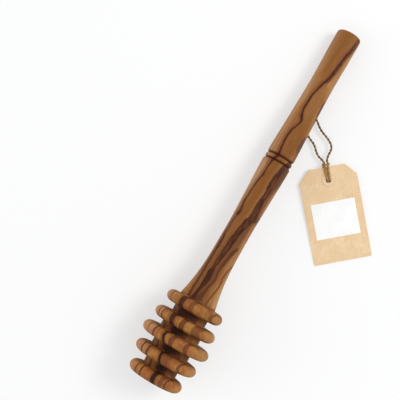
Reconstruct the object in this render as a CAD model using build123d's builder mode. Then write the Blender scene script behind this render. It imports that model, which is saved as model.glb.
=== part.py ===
"""A honey dipper turned from one piece of olive wood, lying on a table beside its hang tag.

The table is the plane Z = 0. The dipper lies along X with its head at -X, and rests on the rim of its
widest disc and on the edge of its handle's end. The tag lies at -Y, with its twine loop tucked under
the handle.
"""

from build123d import *
import os
from math import asin, atan2, cos, degrees, radians, sin, tan

# The turned dipper, measured along its own axis from the end of the head
length = 160.0
end_disc_thickness = 4.9
disc_thickness = 4.7
disc_diameters = (23.0, 26.7, 29.2, 26.5, 24.6)
groove_widths = (3.3, 3.1, 2.7, 2.9)
core_diameters = (14.2, 16.2, 17.0, 14.7)
rim_height = 2.7
rim_flat_count = 6
bead_flat_count = 4
edge_flat_count = 2

# The handle: a neck that flares into the head, a slim waist, the grip and the rounded end
neck_diameter = 15.8
waist_diameter = 10.3
shoulder_diameter = 11.9
upper_shoulder_diameter = 11.7
grip_diameter = 9.8
end_diameter = 10.3
end_round = 1.2

# The bead between two cut grooves
bead_place = 101.15
bead_diameter = 11.6
bead_width = 2.3
bead_groove_diameter = 9.6
shoulder_run = 1.1

# The hang tag. Its hole is its reference point, and its long side turns away from the dipper's axis
hole_place_x = 24.95
hole_place_y = -22.17
tag_turn = 40.4
card_width = 24.0
card_thickness = 0.5
card_corner = 0.4
hole_to_bottom = 33.7
hole_to_top = 5.5
clip_width = 4.4
clip_height = 4.9
hole_diameter = 2.3
ring_diameter = 5.4
ring_thickness = 0.12
label_width = 18.2
label_height = 14.7
label_thickness = 0.1
label_drop = 8.85

# The jute twine, its hitch and its clearances
twine_diameter = 1.0
twine_sides = 8
touch_gap = 0.05
strand_gap = 0.75
leg_spread = 0.63
hitch_pull = 0.25
hitch_fold = 0.8
edge_fold = 0.85
bight_fold = 1.3
arc_share = 0.45

# The free loop's route over the table, from the hitch's left leg to the handle and back to its right leg
loop_points = [
    (30.7, -16.0, 2.35),
    (31.15, -13.6, 1.3),
    (32.53, -11.82, 0.65),
    (34.54, -9.91, 0.5),
    (35.6, -7.43, 0.5),
    (37.5, -3.9, 0.6),
    (38.6, -0.6, 0.9),
    (40.4, 2.95, 1.25),
    (43.1, 4.0, 1.45),
    (45.75, 2.8, 1.5),
    (46.8, 0.1, 1.45),
    (45.6, -3.0, 1.0),
    (43.25, -6.43, 0.5),
    (41.09, -8.9, 0.5),
    (39.8, -12.37, 0.5),
    (38.53, -15.19, 0.5),
    (36.66, -16.9, 0.6),
    (33.9, -16.93, 1.2),
    (31.65, -17.3, 2.4),
]

os.makedirs("parts", exist_ok=True)

# Each disc's start and end along the axis, and the widest one
disc_starts = [0.0]
disc_ends = [end_disc_thickness]
for groove_width in groove_widths:
    disc_starts.append(disc_ends[-1] + groove_width)
    disc_ends.append(disc_starts[-1] + disc_thickness)
widest = max(range(len(disc_diameters)), key=lambda place: disc_diameters[place])

# How the dipper lies: the table touches the crest of the widest disc and the edge of the handle's end
crest = ((disc_starts[widest] + disc_ends[widest]) / 2, disc_diameters[widest] / 2)
heel = (length - end_round, end_diameter / 2)
lie_angle = atan2(crest[1] - heel[1], heel[0] - crest[0])
axis_height = crest[0] * sin(lie_angle) + crest[1] * cos(lie_angle)

# The origin is under the middle of the dipper as it lies
head_reach = -(disc_diameters[0] / 2 - rim_height) * sin(lie_angle)
tip_reach = length * cos(lie_angle) + (end_diameter / 2 - end_round) * sin(lie_angle)
turning = Plane(
    origin=(-(head_reach + tip_reach) / 2, 0, axis_height),
    x_dir=(cos(lie_angle), 0, -sin(lie_angle)),
    z_dir=(0, -1, 0),
)
print("the dipper's axis slopes", round(degrees(lie_angle), 2), "degrees down towards the handle")
print("the head's end face is centred at", turning.origin, "and faces", -turning.x_dir)

# The stations of the handle, from the last disc to the bead and from the bead to the rounded end
neck_place = disc_ends[-1]
bead_low = bead_place - bead_width / 2
bead_high = bead_place + bead_width / 2
shoulder_place = bead_low - shoulder_run
upper_shoulder_place = bead_high + shoulder_run
flare_place_share, flare_share = 0.13, 0.44
waist_share = 0.485
swell_place_share, swell_share = 0.78, 0.47
grip_bend_place_share, grip_bend_share = 0.29, 0.42
grip_share = 0.63


def between(low, high, share):
    """The value that lies at this share of the way from low to high."""
    return low + (high - low) * share


def rounded(centre, run, height, start_angle, end_angle, flats):
    """The corners of a round turned in a few flats, between two angles about its centre."""
    angles = [radians(between(start_angle, end_angle, step / flats)) for step in range(flats + 1)]
    return [(centre[0] + run * cos(angle), centre[1] + height * sin(angle)) for angle in angles]


neck = (neck_place, neck_diameter / 2)
flare = (
    between(neck_place, shoulder_place, flare_place_share),
    between(waist_diameter, neck_diameter, flare_share) / 2,
)
waist = (between(neck_place, shoulder_place, waist_share), waist_diameter / 2)
swell = (
    between(neck_place, shoulder_place, swell_place_share),
    between(waist_diameter, shoulder_diameter, swell_share) / 2,
)
upper_shoulder = (upper_shoulder_place, upper_shoulder_diameter / 2)
grip_bend = (
    between(upper_shoulder_place, heel[0], grip_bend_place_share),
    between(grip_diameter, upper_shoulder_diameter, grip_bend_share) / 2,
)
grip = (between(upper_shoulder_place, heel[0], grip_share), grip_diameter / 2)

# The corners of the head: each disc's rim is a half round, and between two discs lies their core
head_corners = []
for place, disc_diameter in enumerate(disc_diameters):
    disc_run = (disc_ends[place] - disc_starts[place]) / 2
    rim_centre = (disc_starts[place] + disc_run, disc_diameter / 2 - rim_height)
    head_corners += rounded(rim_centre, disc_run, rim_height, 180, 0, rim_flat_count)
    if place < len(core_diameters):
        core_radius = core_diameters[place] / 2
        head_corners += [(disc_ends[place], core_radius), (disc_starts[place + 1], core_radius)]

# The corners of the bead, between the grooves that the tool cuts on each side of it
groove_radius = bead_groove_diameter / 2
shoulder_drop = shoulder_diameter / 2 - groove_radius
bead_height = bead_diameter / 2 - groove_radius
upper_shoulder_drop = upper_shoulder_diameter / 2 - groove_radius
lower_bend = (shoulder_place, groove_radius)
bead_centre = (bead_place, groove_radius)
upper_bend = (upper_shoulder_place, groove_radius)
bead_corners = [
    *rounded(lower_bend, shoulder_run, shoulder_drop, 90, 0, edge_flat_count),
    *rounded(bead_centre, bead_width / 2, bead_height, 180, 0, bead_flat_count)[1:-1],
    *rounded(upper_bend, shoulder_run, upper_shoulder_drop, 180, 90, edge_flat_count),
]
end_corners = rounded((heel[0], heel[1] - end_round), end_round, end_round, 90, 0, edge_flat_count)

with BuildPart() as dipper:
    with BuildSketch(turning):
        with BuildLine():
            Polyline((0, 0), *head_corners, neck)
            ThreePointArc(neck, flare, waist)
            ThreePointArc(waist, swell, bead_corners[0])
            Polyline(*bead_corners)
            ThreePointArc(upper_shoulder, grip_bend, grip)
            Polyline(grip, *end_corners, (length, 0), (0, 0))
        make_face()
    revolve(axis=Axis(turning.origin, turning.x_dir))
dipper.part.label = "dipper"
export_step(dipper.part, "parts/dipper.step")


def tilted(point, turn, rise):
    """The plane at a point whose Y axis turns from X by one angle and rises by the other."""
    return Plane(
        origin=point,
        x_dir=(sin(turn), -cos(turn), 0),
        z_dir=(-cos(turn) * sin(rise), -sin(turn) * sin(rise), cos(rise)),
    )


def easy_radii(points):
    """The radius of each corner's arc, as large as its two runs allow."""
    radii = []
    for before, corner, after in zip(points, points[1:], points[2:]):
        run_in = Vector(*corner) - Vector(*before)
        run_out = Vector(*after) - Vector(*corner)
        half_turn = radians(run_in.get_angle(run_out)) / 2
        radii.append(arc_share * min(run_in.length, run_out.length) / tan(half_turn))
    return radii


def print_cord(name, way, radii, section, part):
    """Prints the cord's length, its radii and its volume as a share of its section times its length."""
    volume_share = part.volume / (section.area * way.length)
    print(name, "is", round(way.length, 2), "long, its volume share is", round(volume_share, 4))
    print(name, "has radii", [round(radius, 2) for radius in radii])


# The card lies on the table on its bottom edge and, at its hole, on the twine that runs back under it
twine_radius = twine_diameter / 2
card_lift = twine_diameter + touch_gap
card_rise = asin(card_lift / hole_to_bottom)
card_plane = tilted((hole_place_x, hole_place_y, card_lift), radians(tag_turn), card_rise)
front_plane = card_plane.offset(card_thickness)

with BuildPart() as tag_card:
    with BuildSketch(card_plane) as outline:
        with Locations((0, (hole_to_top - hole_to_bottom) / 2)):
            Rectangle(card_width, hole_to_top + hole_to_bottom)
        bottom_corners = outline.vertices().group_by(Axis.Y)[0]
        fillet(bottom_corners, card_corner)
        for side in (-1, 1):
            with BuildLine():
                Polyline(
                    (side * card_width / 2, hole_to_top),
                    (side * (card_width / 2 - clip_width), hole_to_top),
                    (side * card_width / 2, hole_to_top - clip_height),
                    close=True,
                )
            make_face(mode=Mode.SUBTRACT)
        Circle(hole_diameter / 2, mode=Mode.SUBTRACT)
    extrude(amount=card_thickness)
tag_card.part.label = "tag_card"
export_step(tag_card.part, "parts/tag_card.step")

with BuildPart() as hole_ring:
    with BuildSketch(front_plane):
        Circle(ring_diameter / 2)
        Circle(hole_diameter / 2, mode=Mode.SUBTRACT)
    extrude(amount=ring_thickness)
hole_ring.part.label = "hole_ring"
export_step(hole_ring.part, "parts/hole_ring.step")

with BuildPart() as label:
    with BuildSketch(front_plane):
        with Locations((0, -label_drop - label_height / 2)):
            Rectangle(label_width, label_height)
    extrude(amount=label_thickness)
label.part.label = "label"
export_step(label.part, "parts/label.step")

# The lark's head hitch, in the card's plane: down the front, through the hole, back under the card, up
# past its top edge, across both front legs, and the same way back on the other side
front_height = card_thickness + ring_thickness + touch_gap + twine_radius
back_height = -touch_gap - twine_radius
bight_height = front_height + twine_diameter + touch_gap + touch_gap
hole_spread = twine_radius + touch_gap / 2
bight_spread = leg_spread + twine_diameter + touch_gap + touch_gap
bight_place = hole_to_top + edge_fold + touch_gap
left_side = [
    (-leg_spread, bight_place, front_height),
    (-hole_spread, hitch_pull, front_height),
    (-hole_spread, hitch_pull, back_height),
    (-bight_spread, bight_place, back_height),
    (-bight_spread, bight_place, bight_height),
]
right_side = [(-across, along, height) for across, along, height in reversed(left_side)]
hitch_route = [card_plane.from_local_coords(point) for point in left_side + right_side]
hitch_radii = [hitch_fold, hitch_fold, edge_fold, bight_fold, bight_fold, edge_fold, hitch_fold, hitch_fold]

with BuildPart() as twine_hitch:
    with BuildLine() as hitch_way:
        FilletPolyline(*hitch_route, radius=hitch_radii)
    with BuildSketch(Plane(origin=hitch_way.line @ 0, z_dir=hitch_way.line % 0)) as hitch_section:
        RegularPolygon(twine_radius, twine_sides)
    sweep()
print_cord("twine_hitch", hitch_way.wires()[0], hitch_radii, hitch_section.sketch, twine_hitch.part)
twine_hitch.part.label = "twine_hitch"
export_step(twine_hitch.part, "parts/twine_hitch.step")

# The free loop carries the two legs on from the bight, and turns back under the handle, against its wood
strand_start = bight_place + strand_gap
strand_ends = [(side * leg_spread, strand_start, front_height) for side in (-1, 1)]
left_end, right_end = [card_plane.from_local_coords(point) for point in strand_ends]
loop_route = [left_end, *loop_points, right_end]
loop_radii = easy_radii(loop_route)

with BuildPart() as twine_loop:
    with BuildLine() as loop_way:
        FilletPolyline(*loop_route, radius=loop_radii)
    with BuildSketch(Plane(origin=loop_way.line @ 0, z_dir=loop_way.line % 0)) as loop_section:
        RegularPolygon(twine_radius, twine_sides)
    sweep()
print("the loop starts at", left_end, "and ends at", right_end)
print_cord("twine_loop", loop_way.wires()[0], loop_radii, loop_section.sketch, twine_loop.part)
twine_loop.part.label = "twine_loop"
export_step(twine_loop.part, "parts/twine_loop.step")
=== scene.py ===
# %% [markdown]
# # A honey dipper of olive wood, with its hang tag
# The packed model gives the frame: the turned dipper, the loop of twine and the tag on it, each a body that
# moves by itself. This lesson dresses that frame. Everything is in metres, the table is the plane Z = 0, and
# the dipper lies along X with its ringed head at -X.

# %% Load the frame
import random
from math import cos, pi, radians, sin, tau

import bmesh
import bpy
from mathutils import Matrix, Vector
from mathutils.geometry import interpolate_bezier


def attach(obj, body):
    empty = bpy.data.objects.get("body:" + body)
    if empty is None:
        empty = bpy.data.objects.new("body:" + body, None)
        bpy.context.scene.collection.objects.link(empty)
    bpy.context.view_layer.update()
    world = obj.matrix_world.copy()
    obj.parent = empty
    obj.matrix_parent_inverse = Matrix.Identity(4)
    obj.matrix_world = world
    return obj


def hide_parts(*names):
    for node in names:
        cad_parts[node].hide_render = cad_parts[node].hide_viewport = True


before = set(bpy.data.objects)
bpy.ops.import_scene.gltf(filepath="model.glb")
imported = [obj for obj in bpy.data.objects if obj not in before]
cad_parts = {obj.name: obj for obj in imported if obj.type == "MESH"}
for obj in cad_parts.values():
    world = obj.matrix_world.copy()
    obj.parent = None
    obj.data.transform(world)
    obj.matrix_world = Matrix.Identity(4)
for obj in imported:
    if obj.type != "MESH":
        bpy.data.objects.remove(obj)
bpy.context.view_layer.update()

# %% [markdown]
# ## The camera
# The dipper is seen from straight above, from about 40 cm, turned so that it runs from the lower left to the
# upper right. A camera that looks down needs no tilt, only a turn about Z, and its lens follows from how much
# of the table the square picture takes in.

# %% Camera
camera_height = 0.4073
camera_data = bpy.data.cameras.new("camera")
camera_data.sensor_width = 36
camera_data.lens = 89.2
camera = bpy.data.objects.new("camera", camera_data)
camera.location = (-0.00835, 0.01941, camera_height)
camera.rotation_euler = (0, 0, radians(-60.105))
bpy.context.scene.collection.objects.link(camera)
bpy.context.scene.camera = camera
bpy.context.scene.view_settings.view_transform = "Standard"
print("camera", camera_height, "m above the table")

# %% [markdown]
# ## The line of the twine
# The tag hangs on a loop of jute twine that is only tucked under the handle. Twine bends softly, so its line
# is one NURBS spline, which runs inside the corners of its points as a limp cord does. Seen from above, the
# points are those of the frame's tube. Most of them are a little higher, because the hitch on top of the card
# keeps the twine off the table on its way to the handle.

# %% Route of the loop
loop_route = [
    (0.02996, -0.01708, 0.00244),
    (0.03070, -0.01600, 0.00235),
    (0.03115, -0.01360, 0.00215),
    (0.03253, -0.01182, 0.00205),
    (0.03454, -0.00991, 0.00190),
    (0.03560, -0.00743, 0.00160),
    (0.03750, -0.00390, 0.00110),
    (0.03860, -0.00060, 0.00100),
    (0.04040, 0.00295, 0.00125),
    (0.04310, 0.00400, 0.00145),
    (0.04575, 0.00280, 0.00150),
    (0.04680, 0.00010, 0.00145),
    (0.04560, -0.00300, 0.00140),
    (0.04325, -0.00643, 0.00180),
    (0.04109, -0.00890, 0.00210),
    (0.03980, -0.01237, 0.00220),
    (0.03853, -0.01519, 0.00220),
    (0.03666, -0.01690, 0.00220),
    (0.03390, -0.01693, 0.00225),
    (0.03165, -0.01730, 0.00240),
    (0.03077, -0.01804, 0.00244),
]
print("the loop has", len(loop_route), "points")

# %% [markdown]
# ## From a route to a smooth line
# The rope's plies need many points to wind round. Blender works them out: the route goes into a curve object
# for a moment, and the mesh that Blender makes of a curve with no bevel is the line itself.

# %% Smooth line


def smooth_line(name, route):
    """The points along a NURBS spline that has the route as its control points."""
    curve = bpy.data.curves.new(name, "CURVE")
    curve.dimensions = "3D"
    curve.resolution_u = 24
    spline = curve.splines.new("NURBS")
    spline.points.add(len(route) - 1)
    for point, place in zip(spline.points, route):
        point.co = (*place, 1)
    spline.order_u = 3
    spline.use_endpoint_u = True
    holder = bpy.data.objects.new(name, curve)
    bpy.context.scene.collection.objects.link(holder)
    line = bpy.data.meshes.new_from_object(holder)
    points = [vertex.co.copy() for vertex in line.vertices]
    bpy.data.objects.remove(holder)
    bpy.data.curves.remove(curve)
    bpy.data.meshes.remove(line)
    return points


loop_line = smooth_line("loop_line", loop_route)
print("the smooth line has", len(loop_line), "points")

# %% Length of a line
MM = 0.001


def line_length(points):
    """The length of a line through points."""
    return sum((end - start).length for start, end in zip(points, points[1:]))


print("the loop's line is", round(line_length(loop_line) / MM, 1), "mm long")

# %% [markdown]
# ## Two plies of jute
# The twine is two thin plies laid round each other. A texture on a plain tube would lose the notched edge
# that two plies show, so each ply is a tube of its own that winds about the line. Winding needs points at
# even steps, so that every turn of the lay is as long as the next.

# %% Even steps
ply_step = 0.00022


def even_points(points, step):
    """Points at even steps along a line."""
    count = max(2, round(line_length(points) / step))
    spacing = line_length(points) / count
    found, carried = [points[0].copy()], 0.0
    for start, end in zip(points, points[1:]):
        run = (end - start).length
        while carried + run >= spacing * len(found) and len(found) < count:
            share = (spacing * len(found) - carried) / run
            found.append(start.lerp(end, share))
        carried += run
    return found + [points[-1].copy()]


print("the loop's line takes", len(even_points(loop_line, ply_step)), "even points")

# %% Wind the plies
ply_radius = 0.00027
ply_offset = 0.00021
lay_length = 0.0031


def ply_paths(points):
    """The lines of two plies that wind round a line."""
    steps = even_points(points, ply_step)
    side = (steps[1] - steps[0]).orthogonal().normalized()
    plies, along = ([], []), 0.0
    for place, point in enumerate(steps):
        ahead = steps[min(place + 1, len(steps) - 1)]
        behind = steps[max(place - 1, 0)]
        forward = (ahead - behind).normalized()
        side = (side - forward * side.dot(forward)).normalized()
        across = forward.cross(side)
        angle = tau * along / lay_length
        for ply, turn in zip(plies, (angle, angle + pi)):
            ply.append(point + (side * cos(turn) + across * sin(turn)) * ply_offset)
        if place + 1 < len(steps):
            along += (steps[place + 1] - point).length
    return plies


print("a ply is", ply_radius * 2 / MM, "mm thick and turns once in", lay_length / MM, "mm")

# %% [markdown]
# ## Tubes along lines
# A ply is round, and so is a loose fibre. A curve with a bevel makes a round tube along any line, with closed
# ends, and needs no faces worked out by hand. Made a mesh, it can be joined, shaded and exported.

# %% Tube mesh


def tube_mesh(name, lines, radius, sides=2):
    """One mesh of round tubes along several lines."""
    curve = bpy.data.curves.new(name, "CURVE")
    curve.dimensions = "3D"
    curve.bevel_depth = radius
    curve.bevel_resolution = sides
    curve.use_fill_caps = True
    for line in lines:
        spline = curve.splines.new("POLY")
        spline.points.add(len(line) - 1)
        for point, place in zip(spline.points, line):
            point.co = (*place, 1)
    holder = bpy.data.objects.new(name, curve)
    bpy.context.scene.collection.objects.link(holder)
    mesh = bpy.data.meshes.new_from_object(holder)
    bpy.data.objects.remove(holder)
    bpy.data.curves.remove(curve)
    mesh.name = name
    return mesh


loop_mesh = tube_mesh("twine_loop_rope", ply_paths(loop_line), ply_radius)
print("the loop's rope has", len(loop_mesh.polygons), "faces")

# %% [markdown]
# ## Colours as they are seen
# Every finish here is made from nodes, and a node takes linear light. Colours are easier to judge as a screen
# shows them, from 0 to 255, so this helper turns such a colour into the one that a node takes.

# %% Screen colours


def srgb(red, green, blue):
    """A colour as it is seen on screen, as the linear colour that a node takes."""
    linear = []
    for value in (red, green, blue):
        share = value / 255
        linear.append(share / 12.92 if share <= 0.04045 else ((share + 0.055) / 1.055) ** 2.4)
    return (*linear, 1.0)


print("mid grey is", round(srgb(128, 128, 128)[0], 3), "in linear light")

# %% [markdown]
# ## A material, one node at a time
# A material's node tree is wordy to write out: a node is added, its properties are set, and each input gets a
# number or a link. This small class starts a material and does those steps in one call.

# %% Tree of nodes


class NodeTree:
    """A material that is built one node at a time."""

    def __init__(self, name):
        self.material = bpy.data.materials.new(name)
        self.material.use_nodes = True
        self.nodes = self.material.node_tree.nodes
        self.links = self.material.node_tree.links
        self.shader = self.nodes["Principled BSDF"]

    def feed(self, socket, value):
        """Links an output to a socket, or writes a value into it."""
        if isinstance(value, bpy.types.NodeSocket):
            self.links.new(value, socket)
        else:
            socket.default_value = value

    def node(self, kind, settings=None, inputs=()):
        """Adds a node, sets its properties, and feeds its first inputs."""
        node = self.nodes.new(kind)
        for name, value in (settings or {}).items():
            setattr(node, name, value)
        for socket, value in zip(node.inputs, inputs):
            self.feed(socket, value)
        return node


print("a node takes its inputs in their own order")

# %% [markdown]
# ## Shorthands for a finish
# Nearly every finish needs the same few nodes: sums, remapped values, mixed colours, noise and bump. With a
# shorthand for each of them, the finishes below read as short lists of steps.

# %% Finish


class Finish(NodeTree):
    """A node tree with shorthands for the nodes that finishes need most."""

    def math(self, operation, first, second=0.0, third=0.0):
        return self.node("ShaderNodeMath", {"operation": operation}, (first, second, third)).outputs[0]

    def remap(self, value, low, high, to_low=0.0, to_high=1.0, kind="SMOOTHSTEP"):
        node = self.node("ShaderNodeMapRange", {"interpolation_type": kind, "clamp": True})
        for name, entry in (("Value", value), ("From Min", low), ("From Max", high)):
            self.feed(node.inputs[name], entry)
        node.inputs["To Min"].default_value = to_low
        node.inputs["To Max"].default_value = to_high
        return node.outputs[0]

    def mix(self, share, first, second):
        node = self.node("ShaderNodeMix", {"data_type": "RGBA"})
        for place, entry in ((0, share), (6, first), (7, second)):
            self.feed(node.inputs[place], entry)
        return node.outputs[2]

    def noise(self, vector, scale, detail=2.0, rough=0.5, distortion=0.0):
        node = self.node("ShaderNodeTexNoise")
        self.feed(node.inputs["Vector"], vector)
        node.inputs["Scale"].default_value = scale
        node.inputs["Detail"].default_value = detail
        node.inputs["Roughness"].default_value = rough
        node.inputs["Distortion"].default_value = distortion
        return node.outputs["Fac"]

    def bump(self, height, strength, distance):
        node = self.node("ShaderNodeBump")
        node.inputs["Strength"].default_value = strength
        node.inputs["Distance"].default_value = distance
        self.links.new(height, node.inputs["Height"])
        self.links.new(node.outputs["Normal"], self.shader.inputs["Normal"])

    def surface(self, colour, roughness, specular):
        """Feeds the shader, with its constant values set on its own sockets."""
        self.feed(self.shader.inputs["Base Color"], colour)
        self.feed(self.shader.inputs["Roughness"], roughness)
        self.shader.inputs["Specular IOR Level"].default_value = specular
        return self.material


print("the shorthands are", [name for name in vars(Finish) if not name.startswith("_")])

# %% [markdown]
# ## The jute
# Jute is a coarse, matt, brown bast fibre. Its single fibres are too thin to be modelled, so fine noise sets
# light ones beside dark ones, and a slow noise makes some stretches of the twine duller than others.

# %% Jute fibres
jute = Finish("jute_twine")
jute_place = jute.node("ShaderNodeTexCoord").outputs["Object"]
fibres_per_metre = 9000
fibre_tone = jute.noise(jute_place, fibres_per_metre, 3, 0.6)
light_fibre = jute.remap(fibre_tone, 0.35, 0.65)
slow_tone = jute.noise(jute_place, 420, 2, 0.5)
jute_colour = jute.mix(light_fibre, srgb(88, 68, 42), srgb(176, 142, 98))
jute_colour = jute.mix(jute.remap(slow_tone, 0.35, 0.7, 0.0, 0.6), jute_colour, srgb(112, 80, 56))
print("the jute's fibres are about", round(1 / fibres_per_metre / MM, 2), "mm apart")

# %% [markdown]
# ## A golden hitch
# Where the twine is hitched on the card it is more golden than in the loop. A Mapping node of the texture
# kind puts the middle of the hitch at zero and counts in steps of 4 mm. The distance from there then fades
# the golden tone out.

# %% Golden tone at the hitch
hitch_middle = (0.0276, -0.0199, 0.0022)
golden_reach = 0.004
hitch_place = jute.node("ShaderNodeMapping", {"vector_type": "TEXTURE"})
hitch_place.inputs["Location"].default_value = hitch_middle
hitch_place.inputs["Scale"].default_value = (golden_reach, golden_reach, golden_reach)
jute.feed(hitch_place.inputs["Vector"], jute_place)
hitch_reach = jute.node("ShaderNodeVectorMath", {"operation": "LENGTH"}, inputs=[hitch_place.outputs[0]])
golden_share = jute.remap(hitch_reach.outputs["Value"], 0.7, 1.2, 0.85, 0.0)
golden = jute.mix(light_fibre, srgb(132, 92, 40), srgb(228, 178, 104))
jute_colour = jute.mix(golden_share, jute_colour, golden)
jute.bump(fibre_tone, 0.5, 0.0001)
jute_material = jute.surface(jute_colour, 0.9, 0.15)
print("the golden tone fades out about", golden_reach / MM, "mm from the hitch's middle")

# %% [markdown]
# ## The loop of twine
# A new piece rides on a body of the frame, so that it moves with it, and gets, in its one material slot,
# the material that gives its finish. The rope then stands for the frame's plain tube, which is hidden.

# %% Add a piece


def add_piece(name, mesh, body, material):
    """Links a finished mesh as a piece that rides on a body."""
    piece = bpy.data.objects.new(name, mesh)
    bpy.context.scene.collection.objects.link(piece)
    mesh.materials.clear()
    mesh.materials.append(material)
    for polygon in mesh.polygons:
        polygon.use_smooth = True
    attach(piece, body)
    return piece


loop_rope = add_piece("twine_loop_rope", loop_mesh, "string", jute_material)
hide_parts("twine_loop")
print("the loop rides on the string")

# %% [markdown]
# ## Stray fibres
# Jute twine is slightly hairy. A few short, thin tubes that stand out of the rope and lean along it show
# that at its edge. Their places come from a seeded random source, so they are the same each run.

# %% Stray fibres
twine_diameter = 0.001
fibre_radius = 0.00002
root_step = 0.0003
table_gap = 0.00005


def stray_fibres(points, count, seed):
    """Short fibres that stand out of a rope's surface."""
    chance = random.Random(seed)
    steps = even_points(points, root_step)
    fibres = []
    for _ in range(count):
        place = chance.randrange(2, len(steps) - 2)
        forward = (steps[place + 1] - steps[place]).normalized()
        side = forward.orthogonal().normalized()
        out = Matrix.Rotation(chance.uniform(0, tau), 3, forward) @ side
        root = steps[place] + out * twine_diameter * 0.42
        lean = forward * chance.choice((-1, 1)) * chance.uniform(0.5, 1.0)
        reach = chance.uniform(0.00035, 0.0009)
        middle = root + (out * 0.6 + lean) * reach * 0.5
        tip = root + (out * chance.uniform(0.5, 1.0) + lean * 1.2) * reach
        fibres.append([Vector((p.x, p.y, max(p.z, table_gap))) for p in (root, middle, tip)])
    return fibres


stray_lines = stray_fibres(loop_line, count=130, seed=4)
fibre_mesh = tube_mesh("twine_loop_fibres", stray_lines, fibre_radius, sides=0)
loop_fibres = add_piece("twine_loop_fibres", fibre_mesh, "string", jute_material)
print(len(stray_lines), "stray fibres have", len(fibre_mesh.polygons), "faces")

# %% [markdown]
# ## The plane of the card
# The tag leans: its lower edge lies on the table, and its hole is lifted about a millimetre by the twine
# below it. What goes through the hole is easier to write in the card's own plane, as so many millimetres
# across, along and out of the card, and is then laid on the tilted card.

# %% The card's plane
card_hole = Vector((0.02495, -0.02217, 0.00105))
card_turn = radians(40.4)
card_rise = radians(1.7855)
card_along = Vector((cos(card_turn) * cos(card_rise), sin(card_turn) * cos(card_rise), sin(card_rise)))
card_across = Vector((sin(card_turn), -cos(card_turn), 0))
card_out = card_across.cross(card_along)


def on_card(across, along, out):
    """A point given in the card's plane, as a point of the frame."""
    return card_hole + (card_across * across + card_along * along + card_out * out) * MM


print("10 mm above the hole lies", [round(value, 4) for value in on_card(0, 10, 0)])

# %% [markdown]
# ## The hitch through the tag
# The twine is tied on the tag with a lark's head: both legs lie on the card, go down through the hole and
# back below the card, and the bight lies across them at the card's top edge. The two halves are alike, so
# one half is written, from the loop to the middle of the bight, and the other is its mirror image.

# %% Route of the hitch
hitch_left = [
    (-0.63, 7.15, 1.17),
    (-0.64, 5.20, 1.15),
    (-0.58, 2.60, 1.15),
    (-0.50, 0.60, 1.10),
    (-0.47, -0.38, 0.75),
    (-0.46, -0.45, -0.25),
    (-0.46, -1.05, -0.52),
    (-0.50, -0.60, -0.56),
    (-0.80, 2.60, -0.60),
    (-1.00, 6.40, -0.70),
    (-1.25, 6.85, 0.60),
    (-1.05, 6.10, 1.95),
    (-0.50, 6.30, 2.25),
]
hitch_right = [(-across, along, out) for across, along, out in reversed(hitch_left)]
hitch_line = smooth_line("hitch_line", [on_card(*point) for point in hitch_left + hitch_right])
print("the hitch takes", round(line_length(hitch_line) / MM, 1), "mm of twine")

# %% Hitch
hitch_mesh = tube_mesh("twine_hitch_rope", ply_paths(hitch_line), ply_radius)
hitch_rope = add_piece("twine_hitch_rope", hitch_mesh, "tag", jute_material)
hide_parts("twine_hitch")
print("the hitch has", len(hitch_mesh.polygons), "faces")

# %% [markdown]
# The frame checks a free cord: it has a real length and diameter, a place where it starts and something on
# its far end. This one is a closed loop, so it starts and ends at the hitch, and it carries the tag.

# %% [markdown]
# ## The turned dipper
# A lathe makes every part of the dipper, so its shape is one profile turned about its axis: five discs with
# round rims, a waisted handle and a small bead between two cut grooves. The frame turns it in flats, and the
# same sizes give a smooth profile here. They are millimetres from the end of the head, and radii.

# %% Sizes of the dipper
length = 160.0
disc_spans = [(0.0, 4.9), (8.2, 12.9), (16.0, 20.7), (23.4, 28.1), (31.0, 35.7)]
disc_radii = [11.5, 13.35, 14.6, 13.25, 12.3]
core_radii = [7.1, 8.1, 8.5, 7.35, 7.8]
rim_height = 2.7
core_round = 0.4
print("the dipper is", length, "mm long and", 2 * max(disc_radii), "mm across its widest disc")

# %% [markdown]
# ## Runs and rounds
# The profile is a chain of vertices. A rounded rim starts as one vertex, which is spun round the rim's
# middle and then stretched, because a rim is rather an ellipse than a circle. Each helper adds its vertices
# to the end of the chain. On each flat end, one vertex half way out keeps the faces there short.

# %% Helpers for the profile
profile = bmesh.new()
outline = []


def add_run(vertices):
    """Adds new vertices to the end of the outline, and joins them up."""
    for vertex in vertices:
        if outline and not profile.edges.get((outline[-1], vertex)):
            profile.edges.new((outline[-1], vertex))
        outline.append(vertex)


def add_round(centre, run, rise, start_angle, end_angle, steps):
    """Adds part of an ellipse to the outline: one vertex, spun on a circle and then stretched."""
    known = set(profile.verts)
    middle = Vector((centre[0], 0, centre[1]))
    first = profile.verts.new(middle + Vector((run * cos(start_angle), 0, run * sin(start_angle))))
    turn = end_angle - start_angle
    bmesh.ops.spin(profile, geom=[first], cent=middle, axis=(0, -1, 0), angle=turn, steps=steps)
    fresh = [vertex for vertex in profile.verts if vertex not in known]
    bmesh.ops.scale(profile, vec=(1, 1, rise / run), space=Matrix.Translation(-middle), verts=fresh)
    add_run(fresh)


half_way_out = 4.4
add_run([profile.verts.new((0, 0, 0)), profile.verts.new((0, 0, half_way_out))])
print("the outline starts with", len(outline), "vertices")

# %% Profile of the head
for disc, (span, radius, core_radius) in enumerate(zip(disc_spans, disc_radii, core_radii)):
    half = (span[1] - span[0]) / 2
    add_round((span[0] + half, radius - rim_height), half, rim_height, pi, 0, 18)
    add_round((span[1] + core_round, core_radius + core_round), core_round, core_round, pi, 1.5 * pi, 4)
    if disc + 1 < len(disc_spans):
        next_start = disc_spans[disc + 1][0]
        middle = (next_start - core_round, core_radius + core_round)
        add_round(middle, core_round, core_round, 1.5 * pi, tau, 4)
print("with the head, the outline has", len(outline), "vertices")

# %% [markdown]
# ## A waisted handle
# The handle swells and narrows slowly, as a hand wants it. Its thickness is known at a few places. A Bezier
# curve runs between each two of them, and its slope at each place makes the handle flow from one to the next.

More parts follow.
